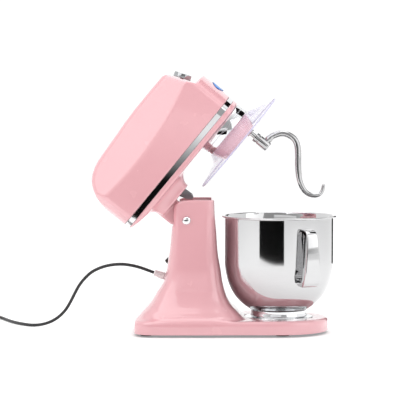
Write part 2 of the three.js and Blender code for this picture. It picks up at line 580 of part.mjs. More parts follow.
function makePlanetary() {
  const shaftU = BOWL_X + ECCENTRICITY;
  const collar = closed([[16.8, 61.4], [16.8, 63.7], [54, 63.7], [55, 62.7], [55, 54], [54, 53.3], [55, 52.6],
    [55, 42], [51.4, 42], [51.4, 61.4]]);
  put("collar", turned(collar, BOWL_X, 28), chrome, head);

  const spaces = gearOutline(RING_TEETH, (MODULE * RING_TEETH) / 2 + MODULE,
    (MODULE * RING_TEETH) / 2 - ADDENDUM * MODULE, BACKLASH / 2, 0);
  const ringGear = raised(circle(0, 0, 51, 36), 46, 54, [spaces]).translate(BOWL_X, 0, 0);
  put("ring_gear", ringGear, whitePlastic, head);

  const neck = [[52.7, 41.6], [55.6, 33.2], [61.2, 27.2], [70, 24.2], [108, 15.2]];
  const outside = neck.map(([r, v], i) => [r + (i < 4 ? 1.5 : 0), v + (i > 1 ? 1.6 : 0)]).reverse();
  put("splash_guard", turned(closed([...neck, ...outside]), BOWL_X, 32), clear, head);

  const shell = turned([[0, 12], [38, 12], [43, 16], [48, 30], [50.2, 41], [50.2, 43.6], [0, 43.6]], BOWL_X, 24);
  const carrier = cut(shell, post(BOWL_X, 0, 30, 60, 6.3, 18), post(shaftU, 0, 0, 60, 6.4, 18));
  put("planet_carrier", carrier, pink, head);

  const planet = spurGear(PLANET_TEETH, 6.3, 45.5, 53.5, 0).translate(shaftU, 0, 0);
  put("planet_pinion", planet, steel, head);
  const shaft = turned([[0, -32], [4.6, -32], [4.6, 9], [6, 9], [6, 55], [0, 55]], shaftU, 18);
  put("beater_shaft", cut(shaft, pinAlongY(shaftU, 2, -20, 20, 2, 12)), steel, head);
  put("cross_pin", pinAlongY(shaftU, 2, -12.5, 12.5, 1.7, 10), steel, head);
}

// Centre line of the dough hook below its hub, as offsets from the shaft axis.
const HOOK_LINE = [
  [0, -24], [17, -24.5], [29, -29.5], [38, -37], [43, -48], [43.5, -61], [38, -73], [25, -86], [11, -97.5],
  [-2, -109.5], [-12, -121.5], [-18.5, -135], [-19.5, -148], [-14, -159.5], [-5, -165.5], [4, -164], [14, -158.5],
];
const HOOK_R = 6;
const HOOK_TIP_R = 3.2;

function makeHook() {
  const shaftU = BOWL_X + ECCENTRICITY;
  const path = new THREE.CatmullRomCurve3(HOOK_LINE.map(([u, v]) => new THREE.Vector3(u, 0, v)));
  const steps = 26;
  const rings = [];
  for (let i = 0; i <= steps; i++) {
    const t = i / steps;
    const centre = path.getPointAt(t);
    const along = path.getTangentAt(t);
    const side = new THREE.Vector3(along.z, 0, -along.x);
    const r = t < 0.6 ? HOOK_R : HOOK_R + ((HOOK_TIP_R - HOOK_R) * (t - 0.6)) / 0.4;
    rings.push(circle(0, 0, r, 10).map(([a, b]) => [centre.x + side.x * a, b, centre.z + side.z * a]));
  }
  const hub = post(0, 0, -33, -0.4, 9.8, 20);
  const bore = post(0, 0, -32.3, 5, 5, 18);
  put("dough_hook", cut(join(hub, loft(rings)), bore).translate(shaftU, 0, 0), steel, head);
}

makeBase();
makeHinge();
makeHeadLock();
makeBowlClamp();
makeCord();
makeBowl();
makeShells();
makeStriker();
makeDial();
makeMotor();
makeDriveTrain();
makePlanetary();
makeHook();

// The origin is the middle of the mixer's footprint, measured without the cord, on the table.
const CORD_NAMES = /^(power_cord|plug_|strain_relief)/;
mixer.updateMatrixWorld(true);
const extent = new THREE.Box3();
mixer.traverse((item) => {
  if (item.isMesh && !CORD_NAMES.test(item.name)) extent.expandByObject(item, true);
});
mixer.position.set(-(extent.min.x + extent.max.x) / 2, -(extent.min.y + extent.max.y) / 2, 0);

export default mixer;
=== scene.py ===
"""Looks of the tilt-head stand mixer: fine shells, bowl, fittings, cord, materials, lights, camera."""
import json
import math

import bmesh
import bpy
import numpy as np
from mathutils import Matrix, Vector


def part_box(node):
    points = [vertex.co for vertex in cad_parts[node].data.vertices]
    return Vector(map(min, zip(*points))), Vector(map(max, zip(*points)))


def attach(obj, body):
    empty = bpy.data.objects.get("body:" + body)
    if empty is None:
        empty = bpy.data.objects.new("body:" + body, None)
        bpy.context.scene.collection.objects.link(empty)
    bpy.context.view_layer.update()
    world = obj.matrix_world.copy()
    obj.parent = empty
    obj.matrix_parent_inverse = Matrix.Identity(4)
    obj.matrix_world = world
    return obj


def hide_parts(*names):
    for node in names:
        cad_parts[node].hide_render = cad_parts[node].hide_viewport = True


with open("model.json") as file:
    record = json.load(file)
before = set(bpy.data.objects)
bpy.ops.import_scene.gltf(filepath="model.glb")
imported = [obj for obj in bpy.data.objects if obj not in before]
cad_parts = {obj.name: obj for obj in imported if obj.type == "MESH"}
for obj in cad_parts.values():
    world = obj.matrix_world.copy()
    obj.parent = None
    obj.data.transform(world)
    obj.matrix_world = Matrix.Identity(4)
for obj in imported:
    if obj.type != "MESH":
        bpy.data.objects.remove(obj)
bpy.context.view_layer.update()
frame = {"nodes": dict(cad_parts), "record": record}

MM = 0.001
OPEN_ANGLE = math.radians(50.5)
BOWL_OFFSET = 175.0  # millimetres from the hinge to the bowl axis and the planetary axis
SHAFT_OFFSET = 203.0  # to the beater shaft, in the head's own frame
SPLIT_V = 74.0
TRIM_TOP = 85.0


def centre_of(node):
    low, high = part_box(node)
    return (Vector(low) + Vector(high)) / 2


HINGE = centre_of("hinge_pin")
BASE = Matrix.Translation((HINGE.x, HINGE.y, 0.0)) @ Matrix.Scale(MM, 4)
HEAD = Matrix.Translation(HINGE) @ Matrix.Rotation(-OPEN_ANGLE, 4, "Y") @ Matrix.Scale(MM, 4)


# ---------- making objects ----------
def piece(name, vertices, faces, place, material, body, replaced=()):
    mesh = bpy.data.meshes.new(name)
    mesh.from_pydata([tuple(v) for v in vertices], [], [tuple(int(i) for i in f) for f in faces])
    mesh.transform(place)
    bm = bmesh.new()
    bm.from_mesh(mesh)
    bmesh.ops.recalc_face_normals(bm, faces=bm.faces)
    bm.to_mesh(mesh)
    bm.free()
    mesh.validate()
    for polygon in mesh.polygons:
        polygon.use_smooth = True
    thing = bpy.data.objects.new(name, mesh)
    bpy.context.scene.collection.objects.link(thing)
    thing.data.materials.append(material)
    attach(thing, body)
    if replaced:
        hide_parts(*replaced)
    return thing


def sharpen(thing, degrees=40):
    """Keeps creases over the angle crisp while the rest stays smooth."""
    mesh = thing.data
    bm = bmesh.new()
    bm.from_mesh(mesh)
    limit = math.radians(degrees)
    for edge in bm.edges:
        if len(edge.link_faces) == 2 and edge.calc_face_angle(0.0) > limit:
            edge.smooth = False
    bm.to_mesh(mesh)
    bm.free()
    return thing


def rounded_profile(points, radii, steps=4):
    """Outline whose listed corners are rounded: (r, z) points with one radius each."""
    result = []
    count = len(points)
    for i, (point, radius) in enumerate(zip(points, radii)):
        here = Vector(point)
        if radius <= 0:
            result.append(tuple(here))
            continue
        before = Vector(points[i - 1])
        after = Vector(points[(i + 1) % count])
        a = (before - here)
        b = (after - here)
        reach = min(radius, a.length * 0.45, b.length * 0.45)
        start = here + a.normalized() * reach
        end = here + b.normalized() * reach
        for k in range(steps + 1):
            t = k / steps
            result.append(tuple((1 - t) ** 2 * start + 2 * t * (1 - t) * here + t * t * end))
    return result


def lathe(profile, count=96, around=(0.0, 0.0), loop=True):
    """Vertices and faces of a profile turned about an upright axis; points on the axis are shared."""
    vertices, rings, faces = [], [], []
    for r, z in profile:
        if r < 1e-6:
            rings.append([len(vertices)] * count)
            vertices.append((around[0], around[1], z))
            continue
        rings.append(list(range(len(vertices), len(vertices) + count)))
        for k in range(count):
            angle = 2 * math.pi * k / count
            vertices.append((around[0] + r * math.cos(angle), around[1] + r * math.sin(angle), z))
    pairs = list(zip(rings, rings[1:]))
    if loop:
        pairs.append((rings[-1], rings[0]))
    for low, high in pairs:
        for k in range(count):
            n = (k + 1) % count
            corner = list(dict.fromkeys((low[k], low[n], high[n], high[k])))
            if len(corner) > 2:
                faces.append(corner)
    return vertices, faces


def sweep(centres, radii, sides):
    """Tube along a path in one plane or in space, with closed round ends."""
    points = [Vector(c) for c in centres]
    vertices, faces = [], []
    normal = None
    for i, point in enumerate(points):
        along = (points[min(i + 1, len(points) - 1)] - points[max(i - 1, 0)]).normalized()
        if normal is None:
            normal = along.orthogonal().normalized()
        normal = (normal - along * normal.dot(along)).normalized()
        other = along.cross(normal)
        for k in range(sides):
            angle = 2 * math.pi * k / sides
            offset = normal * math.cos(angle) + other * math.sin(angle)
            vertices.append(point + offset * radii[i])
    for i in range(len(points) - 1):
        for k in range(sides):
            n = (k + 1) % sides
            faces.append((i * sides + k, i * sides + n, (i + 1) * sides + n, (i + 1) * sides + k))
    faces.append(tuple(range(sides))[::-1])
    faces.append(tuple(range((len(points) - 1) * sides, len(points) * sides)))
    return vertices, faces


def spline(points, count):
    """Evenly spaced points on a smooth curve through the given ones."""
    p = np.array(points, float)
    padded = np.vstack([2 * p[0] - p[1], p, 2 * p[-1] - p[-2]])
    fine = []
    for i in range(len(p) - 1):
        a, b, c, d = padded[i:i + 4]
        for t in np.linspace(0, 1, 24, endpoint=False):
            fine.append(0.5 * (2 * b + (c - a) * t + (2 * a - 5 * b + 4 * c - d) * t ** 2
                               + (3 * b - a - 3 * c + d) * t ** 3))
    fine.append(p[-1])
    fine = np.array(fine)
    run = np.concatenate([[0], np.cumsum(np.linalg.norm(np.diff(fine, axis=0), axis=1))])
    even = np.linspace(0, run[-1], count)
    return np.column_stack([np.interp(even, run, fine[:, k]) for k in range(p.shape[1])])


# ---------- smooth solids from distance functions ----------
def soft_max(a, b, k):
    h = np.maximum(k - np.abs(a - b), 0) / k
    return np.maximum(a, b) + h * h * k / 4


def soft_min(a, b, k):
    return -soft_max(-a, -b, k)


def outline_distance(points):
    """Signed distance to a closed 2-D outline, negative inside."""
    a = np.array(points, float)
    b = np.roll(a, -1, axis=0)

    def distance(x, y):
        best = np.full(x.shape, 1e9)
        inside = np.zeros(x.shape, bool)
        for (ax, ay), (bx, by) in zip(a, b):
            dx, dy = bx - ax, by - ay
            t = np.clip(((x - ax) * dx + (y - ay) * dy) / (dx * dx + dy * dy + 1e-12), 0, 1)
            best = np.minimum(best, (x - ax - t * dx) ** 2 + (y - ay - t * dy) ** 2)
            if ay != by:
                crosses = (ay > y) != (by > y)
                inside ^= crosses & (x < ax + (y - ay) * dx / dy)
        return np.where(inside, -1, 1) * np.sqrt(best)
    return distance


def surface_net(distance, low, high, step):
    """Quads over the zero surface of a distance function, then drawn exactly onto it."""
    axes = [np.arange(low[i], high[i] + step, step) for i in range(3)]
    grid = np.meshgrid(*axes, indexing="ij")
    value = distance(*grid)
    inside = value < 0
    shape = np.array(value.shape) - 1
    total = np.zeros(tuple(shape) + (3,))
    hits = np.zeros(tuple(shape))
    corner = [(i, j, k) for i in (0, 1) for j in (0, 1) for k in (0, 1)]

    def part(array, c):
        return array[c[0]:c[0] + shape[0], c[1]:c[1] + shape[1], c[2]:c[2] + shape[2]]
    for c in corner:
        for axis in range(3):
            if c[axis]:
                continue
            e = list(c)
            e[axis] = 1
            va, vb = part(value, c), part(value, e)
            cross = (va < 0) != (vb < 0)
            t = np.where(cross, va / np.where(cross, va - vb, 1), 0)
            place = np.array(c, float)[None, None, None, :] + np.zeros(tuple(shape) + (3,))
            place[..., axis] += t
            total += np.where(cross[..., None], place, 0)
            hits += cross
    used = hits > 0
    number = -np.ones(tuple(shape), int)
    number[used] = np.arange(used.sum())
    cell = np.argwhere(used)
    vertices = (cell + total[used] / hits[used][:, None]) * step + np.array(low)
    faces = []
    for axis in range(3):
        u, v = [(1, 2), (2, 0), (0, 1)][axis]
        a = np.take(inside, range(0, inside.shape[axis] - 1), axis=axis)
        b = np.take(inside, range(1, inside.shape[axis]), axis=axis)
        for index in np.argwhere(a != b):
            if index[u] == 0 or index[v] == 0 or index[u] >= shape[u] or index[v] >= shape[v]:
                continue
            quad = []
            for du, dv in ((1, 1), (0, 1), (0, 0), (1, 0)):
                spot = index.copy()
                spot[u] -= du
                spot[v] -= dv
                quad.append(number[tuple(spot)])
            if not a[tuple(index)]:
                quad.reverse()
            if min(quad) >= 0:
                faces.append(quad)
    vertices = settle(distance, vertices, np.array(faces), step)
    return vertices, faces


def gradient(distance, p):
    h = 0.05
    g = np.stack([distance(*(p + h * np.eye(3)[i]).T) - distance(*(p - h * np.eye(3)[i]).T)
                  for i in range(3)], axis=1)
    return g / (2 * h)


def settle(distance, p, faces, step):
    """Evens the net out and pulls every vertex onto the surface."""
    edges = np.vstack([faces[:, [k, (k + 1) % 4]] for k in range(4)])
    both = np.vstack([edges, edges[:, ::-1]])
    degree = np.bincount(both[:, 0], minlength=len(p))[:, None]
    for turn in range(3):
        near = np.stack([np.bincount(both[:, 0], p[both[:, 1], k], minlength=len(p)) for k in range(3)], axis=1)
        if turn:
            p = p + 0.5 * (near / np.maximum(degree, 1) - p)
        for _ in range(3):
            g = gradient(distance, p)
            size = np.maximum((g * g).sum(1), 0.2)
            move = (distance(*p.T) / size)[:, None] * g
            p = p - np.clip(move, -step, step)
    return p


def cut_open(vertices, faces, height, keep_above):
    """Cuts a closed net level at the height and leaves that side open."""
    mesh = bmesh.new()
    made = [mesh.verts.new(v) for v in vertices]
    for face in faces:
        mesh.faces.new([made[i] for i in face])
    everything = mesh.verts[:] + mesh.edges[:] + mesh.faces[:]
    bmesh.ops.bisect_plane(mesh, geom=everything, plane_co=(0, 0, height), plane_no=(0, 0, 1),
                           dist=0.02, clear_inner=keep_above, clear_outer=not keep_above)
    mesh.verts.index_update()
    result = [v.co.copy() for v in mesh.verts], [[v.index for v in f.verts] for f in mesh.faces]
    mesh.free()
    return result


def thicken(thing, thickness):
    """Gives an open skin a real wall, inwards, with closed rims."""
    solid = thing.modifiers.new("wall", "SOLIDIFY")
    solid.thickness = thickness * MM
    solid.offset = -1
    solid.use_even_offset = False
    return thing


# ---------- materials ----------
def shader(name, colour, roughness, metallic=0.0):
    material = bpy.data.materials.new(name)
    material.use_nodes = True
    surface = material.node_tree.nodes["Principled BSDF"]
    surface.inputs["Base Color"].default_value = (*colour, 1)
    surface.inputs["Roughness"].default_value = roughness
    surface.inputs["Metallic"].default_value = metallic
    return material, surface


def texture(material, scale, detail=3.0, stretch=(1, 1, 1)):
    nodes, links = material.node_tree.nodes, material.node_tree.links
    place = nodes.new("ShaderNodeTexCoord")
    mapping = nodes.new("ShaderNodeMapping")
    mapping.inputs["Scale"].default_value = stretch
    noise = nodes.new("ShaderNodeTexNoise")
    noise.inputs["Scale"].default_value = scale
    noise.inputs["Detail"].default_value = detail
    links.new(place.outputs["Object"], mapping.inputs["Vector"])
    links.new(mapping.outputs["Vector"], noise.inputs["Vector"])
    return noise.outputs["Fac"]


def vary(material, surface, source, socket, low, high):
    nodes, links = material.node_tree.nodes, material.node_tree.links
    ramp = nodes.new("ShaderNodeMapRange")
    ramp.inputs["To Min"].default_value = low
    ramp.inputs["To Max"].default_value = high
    links.new(source, ramp.inputs["Value"])
    links.new(ramp.outputs["Result"], surface.inputs[socket])


def tint(material, surface, source, dark, light):
    nodes, links = material.node_tree.nodes, material.node_tree.links
    ramp = nodes.new("ShaderNodeValToRGB")
    ramp.color_ramp.elements[0].color = (*dark, 1)
    ramp.color_ramp.elements[0].position = 0.35
    ramp.color_ramp.elements[1].color = (*light, 1)
    ramp.color_ramp.elements[1].position = 0.65
    links.new(source, ramp.inputs["Fac"])
    links.new(ramp.outputs["Color"], surface.inputs["Base Color"])


def bump(material, surface, source, strength, depth):
    nodes, links = material.node_tree.nodes, material.node_tree.links
    relief = nodes.new("ShaderNodeBump")
    relief.inputs["Strength"].default_value = strength
    relief.inputs["Distance"].default_value = depth
    links.new(source, relief.inputs["Height"])
    links.new(relief.outputs["Normal"], surface.inputs["Normal"])


def enamel():
    material, surface = shader("pink_enamel", (0.715, 0.365, 0.40), 0.26)
    tint(material, surface, texture(material, 9), (0.715, 0.366, 0.398), (0.735, 0.380, 0.412))
    vary(material, surface, texture(material, 38), "Roughness", 0.22, 0.30)
    surface.inputs["Coat Weight"].default_value = 1.0
    surface.inputs["Coat IOR"].default_value = 1.62
    surface.inputs["Coat Roughness"].default_value = 0.06
    bump(material, surface, texture(material, 220, 2), 0.02, 0.0002)
    return material


def metal(name, colour, roughness, spread, scale, stretch=(1, 1, 1), relief=0.02):
    material, surface = shader(name, colour, roughness, 1.0)
    grain = texture(material, scale, 4, stretch)
    tint(material, surface, grain, tuple(c * 0.97 for c in colour), colour)
    vary(material, surface, grain, "Roughness", max(roughness - spread, 0.01), roughness + spread)
    bump(material, surface, grain, relief, 0.0002)
    return material


def plastic(name, colour, roughness, scale=220, relief=0.12):
    material, surface = shader(name, colour, roughness)
    grain = texture(material, scale, 3)
    tint(material, surface, grain, tuple(c * 0.85 for c in colour), tuple(min(c * 1.1, 1) for c in colour))
    vary(material, surface, grain, "Roughness", roughness - 0.06, roughness + 0.06)
    bump(material, surface, grain, relief, 0.0003)
    return material


def clear_plastic(name, alpha):
    material, surface = shader(name, (0.80, 0.78, 0.90), 0.06)
    tint(material, surface, texture(material, 8), (0.60, 0.57, 0.76), (0.66, 0.63, 0.80))
    vary(material, surface, texture(material, 60), "Roughness", 0.04, 0.09)
    surface.inputs["Alpha"].default_value = alpha
    surface.inputs["IOR"].default_value = 1.49
    return material


PINK = enamel()
CHROME = metal("bright_chrome", (0.80, 0.81, 0.825), 0.05, 0.02, 90)
STEEL = metal("polished_steel", (0.61, 0.61, 0.615), 0.065, 0.015, 50, (1, 1, 24), 0.006)
DARK_CHROME = metal("dark_chrome", (0.40, 0.41, 0.42), 0.07, 0.02, 90)
HOOK_STEEL = metal("hook_steel", (0.50, 0.50, 0.505), 0.10, 0.03, 120, (1, 1, 1), 0.02)
GREY_STEEL = metal("plain_steel", (0.42, 0.43, 0.45), 0.34, 0.06, 300)
ALLOY = metal("cast_alloy", (0.70, 0.70, 0.71), 0.42, 0.08, 420, relief=0.2)
BRASS = metal("bare_brass", (0.72, 0.54, 0.25), 0.24, 0.06, 200)
RUBBER = plastic("black_rubber", (0.018, 0.018, 0.019), 0.55, 500, 0.25)
CORD_BLACK = plastic("cord_black", (0.012, 0.012, 0.013), 0.42, 700, 0.15)
BLACK = plastic("black_plastic", (0.035, 0.026, 0.025), 0.45, 600, 0.2)
MILKY = plastic("milky_plastic", (0.80, 0.74, 0.74), 0.32, 240, 0.08)
BLUE = plastic("blue_enamel", (0.004, 0.16, 0.52), 0.14, 60, 0.02)
BOARD = plastic("circuit_board", (0.03, 0.16, 0.07), 0.4, 150, 0.1)
CLEAR = clear_plastic("clear_plastic", 0.16)
TINTED = clear_plastic("clear_edge", 0.6)

SLOT_MATERIAL = {
    "pink_enamel": PINK, "chrome_trim": CHROME, "polished_steel": STEEL, "plain_steel": GREY_STEEL,
    "cast_alloy": ALLOY, "brass_parts": BRASS, "black_rubber": RUBBER, "black_plastic": BLACK,
    "white_plastic": MILKY, "clear_plastic": CLEAR, "blue_badge": BLUE, "circuit_board": BOARD,
}


def dress_cad_nodes():
    """Every CAD node gets the material of its slot."""
    for row in frame["record"]["subparts"]:
        thing = frame["nodes"][row["node"]]
        thing.data.materials.clear()
        thing.data.materials.append(SLOT_MATERIAL[row["material_slot"]])


# ---------- camera ----------
def make_camera():
    camera = bpy.data.objects.new("camera", bpy.data.cameras.new("camera"))
    bpy.context.scene.collection.objects.link(camera)
    camera.data.lens = 175
    camera.data.sensor_width = 36
    camera.data.clip_end = 50
    aim = Vector((HINGE.x + 0.0403, HINGE.y, 0.2365))
    camera.location = (aim.x, aim.y - 3.84, 0.464)
    camera.rotation_euler = (aim - camera.location).to_track_quat("-Z", "Y").to_euler()
    bpy.context.scene.camera = camera


# ---------- power cord ----------
# Route in metres from the hinge: out of the strain relief, over in an arc, down and along the table.
CORD_ROUTE = [
    (-0.0626, 0, 0.1134), (-0.075, 0, 0.118), (-0.089, 0.001, 0.1228), (-0.104, 0.002, 0.1265),
    (-0.120, 0.004, 0.1286), (-0.136, 0.006, 0.1283), (-0.152, 0.009, 0.1256), (-0.168, 0.013, 0.1203),
    (-0.183, 0.018, 0.112), (-0.196, 0.023, 0.100), (-0.207, 0.029, 0.086), (-0.216, 0.035, 0.070),
    (-0.225, 0.041, 0.0525), (-0.235, 0.047, 0.0365), (-0.248, 0.054, 0.023), (-0.264, 0.061, 0.0125),
    (-0.283, 0.070, 0.0058), (-0.302, 0.081, 0.0033), (-0.319, 0.096, 0.0033), (-0.335, 0.118, 0.0033),
    (-0.350, 0.146, 0.0033), (-0.364, 0.180, 0.0033), (-0.373, 0.203, 0.0033), (-0.3805, 0.222, 0.0033),
]
CORD_DIAMETER = 0.006
COIL_CENTRE = Vector((-0.425, 0.232))
COIL_TURNS = 2 + 150 / 360
COIL_START = math.radians(30)


def coil_points():
    """Outer turn on the table, a turn inside it, then one on top of the two."""
    points = []
    steps = int(COIL_TURNS * 24)
    stations = [0, 0.75, 1.15, 1.55, 2.0, COIL_TURNS]
    radii = [0.038, 0.038, 0.032, 0.032, 0.0352, 0.0376]
    heights = [0.0033, 0.0033, 0.0033, 0.0033, 0.0087, 0.0088]
    for i in range(steps + 1):
        turn = COIL_TURNS * i / steps
        r = np.interp(turn, stations, radii)
        angle = COIL_START + 2 * math.pi * turn
        points.append((COIL_CENTRE.x + r * math.cos(angle), COIL_CENTRE.y + r * math.sin(angle),
                       np.interp(turn, stations, heights)))
    return points


def make_relief():
    """Ribbed cord guard: rings joined by thinner waists, tapering to the cord."""
    profile = [(0, 0), (6.1, 0), (6.1, 6.3), (7.7, 6.4), (7.9, 6.8), (7.9, 7.8), (7.6, 8.2)]
    for k in range(5):
        start = 8.4 + 3.3 * k
        size = 7.5 - 0.28 * k
        profile += [(size - 1.0, start), (size - 1.0, start + 1.1), (size, start + 1.4), (size, start + 2.7),
                    (size - 0.3, start + 3.0)]
    profile += [(5.6, 25.0), (4.6, 25.4), (3.3, 25.4), (3.3, 24.9), (0, 24.9)]
    vertices, faces = lathe(profile, 48, loop=False)
    place = BASE @ Matrix.Translation((-38.2, 0, 104.6)) @ Matrix.Rotation(math.radians(-70), 4, "Y")
    return sharpen(piece("cord_guard", vertices, faces, place, MILKY, "base", ("strain_relief",)))


def make_cord():
    end = [(-0.463, 0.2205, 0.0098), (-0.463, 0.2128, 0.0113)]
    route = CORD_ROUTE + [(-0.3868, 0.2375, 0.0033)] + coil_points() + end
    path = spline(route, 620)
    path = path + np.array([HINGE.x, HINGE.y, 0])
    vertices, faces = sweep(path, [CORD_DIAMETER / 2] * len(path), 16)
    cord = piece("mains_cord", vertices, faces, Matrix.Identity(4), CORD_BLACK, "base",
                 ("power_cord", "power_cord_coil"))
    plug, relief = make_plug(), make_relief()


def make_plug():
    profile = [(0, 0), (3.6, 0), (3.9, 2), (3.5, 3), (4.3, 5), (3.9, 6), (5.0, 9), (4.6, 10), (6.4, 13.5),
               (10.0, 19), (11.5, 25), (11.9, 31), (11.5, 39), (10.3, 45), (9.6, 45.8), (0, 45.8)]
    vertices, faces = lathe(profile, 48, loop=False)
    place = Matrix.Translation((HINGE.x - 0.463, HINGE.y + 0.214, 0.0122)) @ Matrix.Rotation(
        math.radians(90), 4, "X") @ Matrix.Scale(MM, 4)
    return sharpen(piece("mains_plug", vertices, faces, place, RUBBER, "base", ("plug_body",)))


make_camera()
dress_cad_nodes()
make_cord()


# ---------- base ----------
# Pedestal sections in millimetres: height, rear x, front x, half width, squareness.
PEDESTAL = np.array([
    [-5, -97, 110, 97, 4], [5, -97, 110, 97, 4], [20, -96.5, 110, 96, 4], [31, -93, 108, 94, 4],
    [43, -85, 98, 88, 4], [54, -74, 87, 81, 4], [67, -64, 78.5, 74.5, 4], [81, -56, 73, 69, 4],
    [96, -46, 69, 66, 4], [121, -39, 65, 62, 4], [150, -34, 60, 60, 4.5], [190, -29.5, 57, 58, 5],
    [226, -26.6, 53.8, 57, 6], [270, -24, 52, 55.5, 6],
])
CHEEK_TOP = 254.6


def smooth_table(table, key, column):
    """Smooth value between the table's rows (Catmull-Rom over the first column)."""
    heights, values = table[:, 0], table[:, column]
    slopes = np.gradient(values, heights)
    i = np.clip(np.searchsorted(heights, key) - 1, 0, len(heights) - 2)
    span = heights[i + 1] - heights[i]
    t = np.clip((key - heights[i]) / span, 0, 1)
    a, b = values[i], values[i + 1]
    return ((2 * t ** 3 - 3 * t ** 2 + 1) * a + (t ** 3 - 2 * t ** 2 + t) * span * slopes[i]
            + (3 * t ** 2 - 2 * t ** 3) * b + (t ** 3 - t ** 2) * span * slopes[i + 1])


def foot_outline():
    """Plan of the foot: a round front end and two rounded corners behind."""
    half = 98
    corner = 34
    points = []
    for degrees in np.linspace(-90, 90, 41):
        angle = math.radians(degrees)
        points.append((BOWL_OFFSET + half * 0.96 * math.cos(angle), half * math.sin(angle)))
    for x, y, start in ((corner - half, half - corner, 90), (corner - half, corner - half, 180)):
        for degrees in np.linspace(start, start + 90, 13):
            angle = math.radians(degrees)
            points.append((x + corner * math.cos(angle), y + corner * math.sin(angle)))
    return points


def base_distance():
    foot_plan = outline_distance(foot_outline())

    def distance(x, y, z):
        x0, x1 = smooth_table(PEDESTAL, z, 1), smooth_table(PEDESTAL, z, 2)
        half, power = smooth_table(PEDESTAL, z, 3), smooth_table(PEDESTAL, z, 4)
        u = np.abs((x - (x0 + x1) / 2) / ((x1 - x0) / 2)) + 1e-9
        v = np.abs(y / half) + 1e-9
        level = (u ** power + v ** power) ** (1 / power)
        column = (level - 1) * np.minimum((x1 - x0) / 2, half)
        hinge_arc = np.hypot(x - 2, z - HINGE.z / MM) - 38.4
        column = np.where(x < 2, soft_max(column, np.minimum(hinge_arc, 400 * (z > 216) - 200), 2.0), column)
        column = soft_max(column, z - CHEEK_TOP, 2.5)
        foot = soft_max(foot_plan(x, y), np.abs(z - 7.5) - 22.5, 9.0)
        body = soft_min(column, foot, 10.0)
        slot = np.maximum(np.maximum(x - 46, np.abs(y) - 44), 205 - z)
        body = soft_max(body, -slot, 2.0)
        seat = np.maximum(np.hypot(x - BOWL_OFFSET, y) - 65.4, 28 - z)
        return soft_max(body, -seat, 1.2)
    return distance


def make_base():
    step = 2.6
    vertices, faces = surface_net(base_distance(), (-106, -106, -14), (276, 106, 262), step)
    vertices, faces = cut_open(vertices, faces, 5.0, True)
    base = piece("base_shell", vertices, faces, BASE, PINK, "base", ("base_housing",))
    thicken(base, 2.0)


# ---------- head ----------
UPPER_SIDE = [
    (-83.6, 60), (231.4, 60), (231.4, 146), (229, 149), (209, 151.5), (188, 203), (180, 207.3), (149, 208),
    (101, 208), (70, 206.6), (44.5, 204.5), (20, 202.8), (-4, 201), (-20, 199.5), (-34, 196.5), (-46, 191.5),
    (-56, 185), (-63, 177.5), (-68, 169.5), (-74.5, 156), (-79, 142), (-82.3, 128), (-83.6, 113),
]
NOSE = 199.0
NOSE_DEPTH = 32.4


def head_plan(inset=0.0):
    half = 78 - inset
    rear = [(-83.6 + inset, 0), (-83.0 + inset, 22 - inset), (-80.4 + inset, 42 - inset),
            (-75 + inset, 56 - inset), (-68.5 + inset * 0.8, 66 - inset), (-65.5 + inset * 0.7, 70.6 - inset)]
    flank = [(-61, 74.1 - inset), (-45, 75.3 - inset), (0, 77.4 - inset), (60, half), (130, 76 - inset),
             (NOSE - 2, 70.6 - inset)]
    side = [tuple(p) for p in spline(rear, 24)] + [tuple(p) for p in spline(flank, 40)]
    for degrees in np.linspace(86, 0, 22):
        angle = math.radians(degrees)
        side.append((NOSE + (NOSE_DEPTH - inset) * math.cos(angle), (70 - inset) * math.sin(angle)))
    return side + [(u, -y) for u, y in side[-2:0:-1]]


def upper_distance():
    side = outline_distance(UPPER_SIDE)
    plan = outline_distance(head_plan())
    slope, rise = 0.47, 0.05
    size = math.sqrt(1 + slope ** 2 + (slope * rise) ** 2)

    def distance(u, y, v):
        crease = 134 + rise * (u + 120)
        facet = (np.abs(y) + slope * (v - crease) - 78.2) / size
        body = soft_max(side(u, v), facet, 9.0)
        return soft_max(body, plan(u, y), 1.6)
    return distance


def make_upper_shell():
    step = 2.4
    vertices, faces = surface_net(upper_distance(), (-90, -84, 62), (238, 84, 214), step)
    vertices, faces = cut_open(vertices, faces, TRIM_TOP + 0.3, True)
    shell = piece("upper_shell", vertices, faces, HEAD, PINK, "head", ("head_upper_shell",))
    thicken(shell, 2.0)


def make_trim():
    """Chrome band: a shallow crowned section carried round the head's plan."""
    section = [(3.0, SPLIT_V + 0.4), (0.9, SPLIT_V + 0.4), (0.45, SPLIT_V + 0.85), (0.45, SPLIT_V + 5.5),
               (0.45, TRIM_TOP - 0.55), (0.9, TRIM_TOP - 0.1), (3.0, TRIM_TOP - 0.1)]
    rings = [[(u, y, v) for u, y in head_plan(inset)] for inset, v in section]
    count = len(rings[0])
    vertices = [p for r in rings for p in r]
    faces = []
    for i in range(len(rings)):
        j = (i + 1) % len(rings)
        for k in range(count):
            n = (k + 1) % count
            faces.append((i * count + k, i * count + n, j * count + n, j * count + k))
    band = piece("chrome_band", vertices, faces, HEAD, CHROME, "head", ("trim_band",))
    sharpen(band, 30)


NECK = np.array([[30, -24, 53, 56, 6], [39, -24, 53, 56, 6], [50, -25, 55, 57, 6], [59, -31, 64, 60, 5],
                 [66, -43, 80, 66, 4.5], [72, -60, 104, 72, 4.5], [90, -78, 130, 76, 4.5]])
TONGUE = [(-24.8, 60), (-24.8, 18), (-17, 6), (-14.2, -6.4), (-10, -11), (-5.4, -14.6), (5.4, -14.6), (10, -11),
          (14.2, -6.4), (16, 6), (18, 22), (18, 60)]


